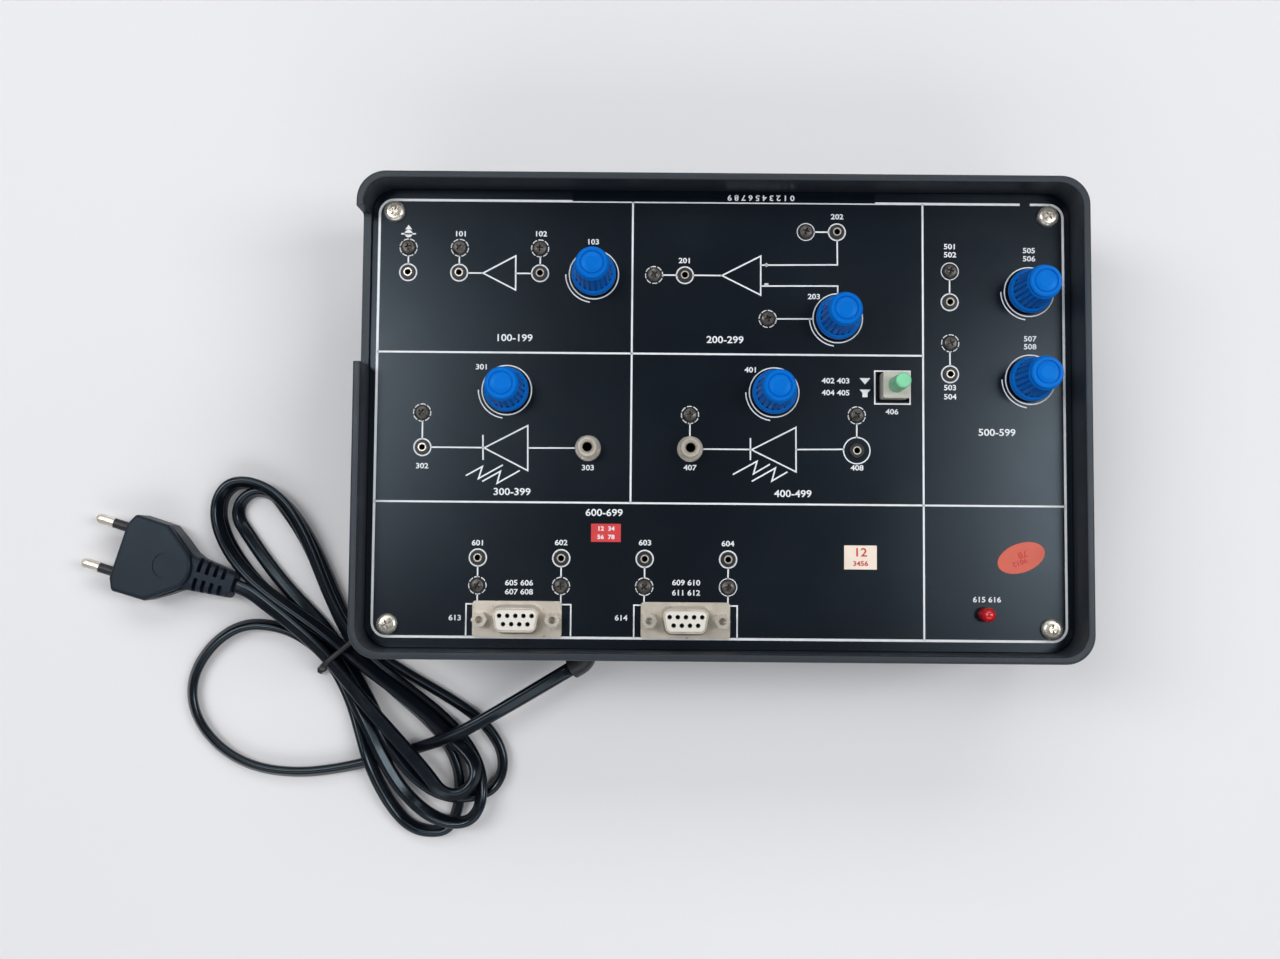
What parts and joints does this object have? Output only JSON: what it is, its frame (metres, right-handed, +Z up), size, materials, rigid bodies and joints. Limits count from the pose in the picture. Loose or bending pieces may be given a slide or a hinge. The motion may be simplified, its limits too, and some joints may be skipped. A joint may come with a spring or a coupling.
{
  "type": "fibre optics trainer",
  "caption": "Desktop fibre optics training unit: a deep tray case with a printed control panel of knobs, sockets, fibre receptacles and serial connectors, and a tied mains cord beside it.",
  "frame": {"origin": "on the table plane under the middle of the case", "axes": "+X along the case's long side to the right of someone reading the panel, +Y towards its far edge, +Z up out of the panel"},
  "size_m": [0.3692, 0.2402, 0.076],
  "materials": {
    "case_black": "fine textured moulding",
    "foot_rubber": "matt",
    "screw_zinc": "zinc plated",
    "panel_black": "smooth satin paint with white print",
    "panel_screw": "dark plated, satin",
    "board_green": "glass-epoxy laminate, satin",
    "terminal_black": "black oxide, semi-gloss",
    "spacer_brass": "turned",
    "core_steel": "varnished laminations",
    "coil_tape": "yellow winding tape",
    "strap_steel": "zinc plated",
    "lead_insulation": "blue insulation",
    "capacitor_sleeve": "shrink sleeve",
    "ic_black": "moulded epoxy",
    "pot_can": "plated",
    "pot_nut": "plated",
    "knob_blue": "semi-gloss moulding",
    "shaft_metal": "turned",
    "collar_black": "moulded",
    "contact_plated": "plated",
    "receptacle_nickel": "nickel plated, turned",
    "diode_can": "gilt can",
    "switch_cream": "cream moulding",
    "plunger_white": "white moulding",
    "button_green": "pale green moulding",
    "spring_steel": "drawn wire",
    "lamp_red": "tinted clear epoxy",
    "connector_shell": "tin plated",
    "insulator_white": "moulded",
    "connector_contact": "gilt",
    "jack_nickel": "nickel plated",
    "strip_label": "bare label strip",
    "label_red": "printed paper",
    "label_white": "paper",
    "label_orange": "printed paper",
    "bushing_black": "soft moulding",
    "cord_black": "glossy flexible sheath",
    "tie_black": "coated strip",
    "plug_charcoal": "fine matt moulding",
    "pin_nickel": "nickel plated",
    "sleeve_black": "moulded"
  },
  "bodies": {
    "case": {"case_shell": "case_black", "rubber_feet": "foot_rubber", "foot_screws": "screw_zinc", "front_panel": "panel_black", "panel_screws": "panel_screw", "circuit_board": "board_green", "terminal_screws": "terminal_black", "terminal_spacers": "spacer_brass", "terminal_nuts": "screw_zinc", "transformer_core": "core_steel", "transformer_coil": "coil_tape", "transformer_strap": "strap_steel", "transformer_screws": "screw_zinc", "transformer_nuts": "screw_zinc", "mains_leads": "lead_insulation", "secondary_leads": "lead_insulation", "filter_capacitors": "capacitor_sleeve", "dip_ics": "ic_black", "potentiometer_bodies": "pot_can", "potentiometer_washers": "pot_nut", "potentiometer_nuts": "pot_nut", "socket_collars": "collar_black", "socket_contacts": "contact_plated", "fibre_receptacles": "receptacle_nickel", "receptacle_nuts": "receptacle_nickel", "optical_diodes": "diode_can", "switch_body": "switch_cream", "switch_spring": "spring_steel", "indicator_lamp": "lamp_red", "dsub_shells": "connector_shell", "dsub_insulators": "insulator_white", "dsub_contacts": "connector_contact", "dsub_jack_posts": "jack_nickel", "dsub_nuts": "screw_zinc", "title_strip": "strip_label", "red_label": "label_red", "white_label": "label_white", "oval_label": "label_orange", "cord_bushing": "bushing_black", "cord_from_case": "cord_black", "cord_hank": "cord_black", "cord_to_plug": "cord_black", "twist_tie": "tie_black", "plug_body": "plug_charcoal", "plug_pins": "pin_nickel", "pin_sleeves": "sleeve_black"},
    "push_button": {"switch_cap": "button_green", "switch_plunger": "plunger_white"},
    "amplifier_control": {"amplifier_knob": "knob_blue", "amplifier_shaft": "shaft_metal"},
    "receiver_control": {"receiver_knob": "knob_blue", "receiver_shaft": "shaft_metal"},
    "transmitter_control": {"transmitter_knob": "knob_blue", "transmitter_shaft": "shaft_metal"},
    "comparator_control": {"comparator_knob": "knob_blue", "comparator_shaft": "shaft_metal"},
    "generator_upper_control": {"generator_upper_knob": "knob_blue", "generator_upper_shaft": "shaft_metal"},
    "generator_lower_control": {"generator_lower_knob": "knob_blue", "generator_lower_shaft": "shaft_metal"}
  },
  "joints": [
    {"name": "amplifier_turn", "type": "hinge", "parent": "case", "child": "amplifier_control", "pos_m": [-0.0445, 0.0504, 0.057], "axis": [0, 0, 1], "range_deg": [-150, 150]},
    {"name": "receiver_turn", "type": "hinge", "parent": "case", "child": "receiver_control", "pos_m": [-0.0745, 0.0094, 0.057], "axis": [0, 0, 1], "range_deg": [-150, 150]},
    {"name": "transmitter_turn", "type": "hinge", "parent": "case", "child": "transmitter_control", "pos_m": [0.0188, 0.0093, 0.057], "axis": [0, 0, 1], "range_deg": [-150, 150]},
    {"name": "comparator_turn", "type": "hinge", "parent": "case", "child": "comparator_control", "pos_m": [0.041, 0.0356, 0.057], "axis": [0, 0, 1], "range_deg": [-150, 150]},
    {"name": "generator_upper_turn", "type": "hinge", "parent": "case", "child": "generator_upper_control", "pos_m": [0.108, 0.0454, 0.057], "axis": [0, 0, 1], "range_deg": [-150, 150]},
    {"name": "generator_lower_turn", "type": "hinge", "parent": "case", "child": "generator_lower_control", "pos_m": [0.1082, 0.0145, 0.057], "axis": [0, 0, 1], "range_deg": [-150, 150]},
    {"name": "button_press", "type": "slide", "parent": "case", "child": "push_button", "axis": [0, 0, -1], "range_m": [0, 0.0025], "stiffness_N_per_m": 300, "springref_m": -0.003, "deforming": ["switch_spring"]}
  ]
}
